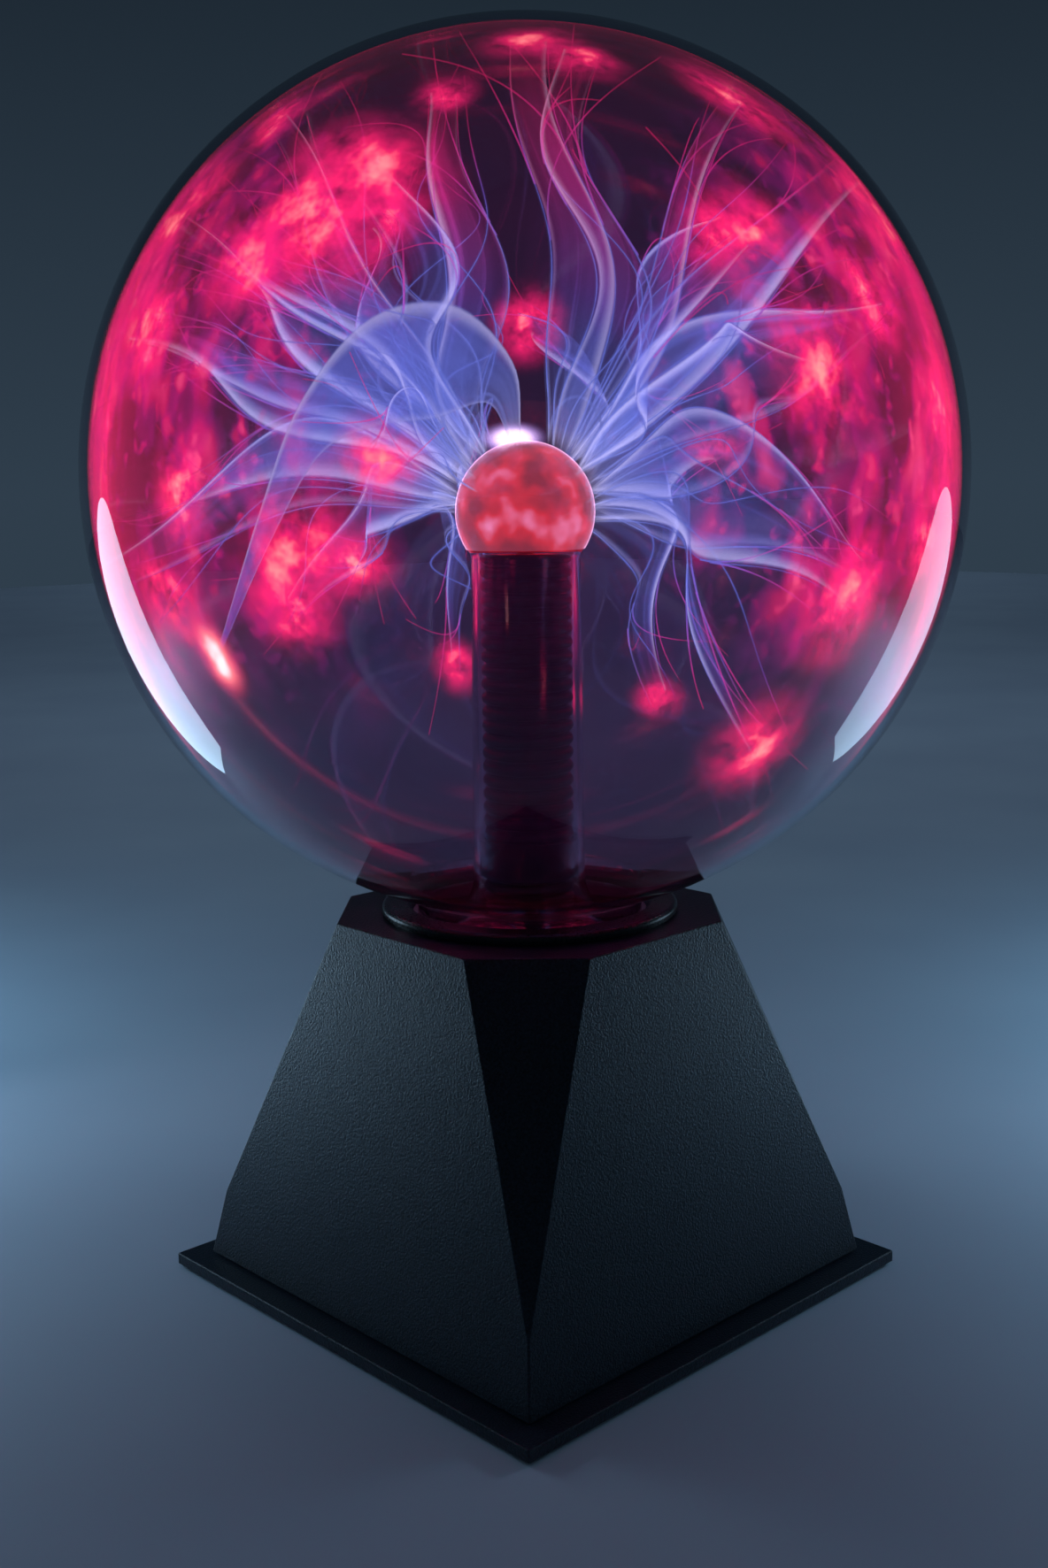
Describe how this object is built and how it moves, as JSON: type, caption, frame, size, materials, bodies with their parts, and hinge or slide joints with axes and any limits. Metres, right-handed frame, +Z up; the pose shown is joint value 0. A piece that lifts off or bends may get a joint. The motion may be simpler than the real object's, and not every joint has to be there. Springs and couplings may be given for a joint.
{
  "type": "plasma ball",
  "caption": "Desk plasma ball: a clear glass globe with a ball electrode on a central stem, standing on a faceted square black base that holds its driver.",
  "frame": {"origin": "middle of the table face, under the feet", "axes": "+Z up, +Y out of the side that has the inlet and the switch, +X to the left as seen from that side"},
  "size_m": [0.2, 0.2, 0.2929],
  "materials": {
    "clear_glass": "polished",
    "stem_tube_glass": "polished",
    "electrode_filling": "satin",
    "sleeve_black": "satin",
    "brass": "satin",
    "lead_silicone": "matte",
    "black_rubber": "matte",
    "clear_sealant": "satin",
    "base_black": "fine moulded grain",
    "collar_black": "satin",
    "cover_black": "matte",
    "screw_steel": "zinc plated",
    "board_laminate": "satin",
    "ferrite": "matte",
    "former_plastic": "matte",
    "copper_wire": "enamelled",
    "spring_steel": "satin",
    "sink_aluminium": "extruded",
    "component_black": "matte",
    "can_blue": "gloss",
    "film_yellow": "satin",
    "resistor_tan": "satin",
    "capsule_metal": "satin",
    "jack_black": "satin",
    "plated_nickel": "nickel plated",
    "switch_phenolic": "matte",
    "knob_black": "satin",
    "wire_red": "satin",
    "wire_grey": "satin"
  },
  "bodies": {
    "base": {"globe_glass": "clear_glass", "stem_glass": "stem_tube_glass", "exhaust_tip": "stem_tube_glass", "electrode_core": "electrode_filling", "ribbed_sleeve": "sleeve_black", "electrode_pin": "brass", "hv_lead": "lead_silicone", "rubber_feet": "black_rubber", "neck_gasket": "black_rubber", "sleeve_bush": "black_rubber", "neck_sealant": "clear_sealant", "base_shell": "base_black", "collar_ring": "collar_black", "collar_nut": "collar_black", "bottom_cover": "cover_black", "cover_screws": "screw_steel", "board_screws": "screw_steel", "transistor_screw": "screw_steel", "switch_screws": "screw_steel", "circuit_board": "board_laminate", "ferrite_lower": "ferrite", "ferrite_upper": "ferrite", "hv_former": "former_plastic", "primary_former": "former_plastic", "transformer_carrier": "former_plastic", "hv_winding": "copper_wire", "primary_winding": "copper_wire", "core_strap": "spring_steel", "switch_frame": "spring_steel", "heat_sink": "sink_aluminium", "power_transistor": "component_black", "driver_chip": "component_black", "filter_capacitor": "can_blue", "film_capacitors": "film_yellow", "resistors": "resistor_tan", "microphone": "capsule_metal", "dc_jack": "jack_black", "jack_pin": "plated_nickel", "jack_nut": "plated_nickel", "switch_tags": "plated_nickel", "switch_body": "switch_phenolic", "power_wires": "wire_red", "switch_wires": "wire_grey"},
    "knob": {"switch_knob": "knob_black"}
  },
  "joints": [
    {"name": "switch_slide", "type": "slide", "parent": "base", "child": "knob", "axis": [1, 0, 0], "range_m": [-0.0025, 0.0025]}
  ]
}
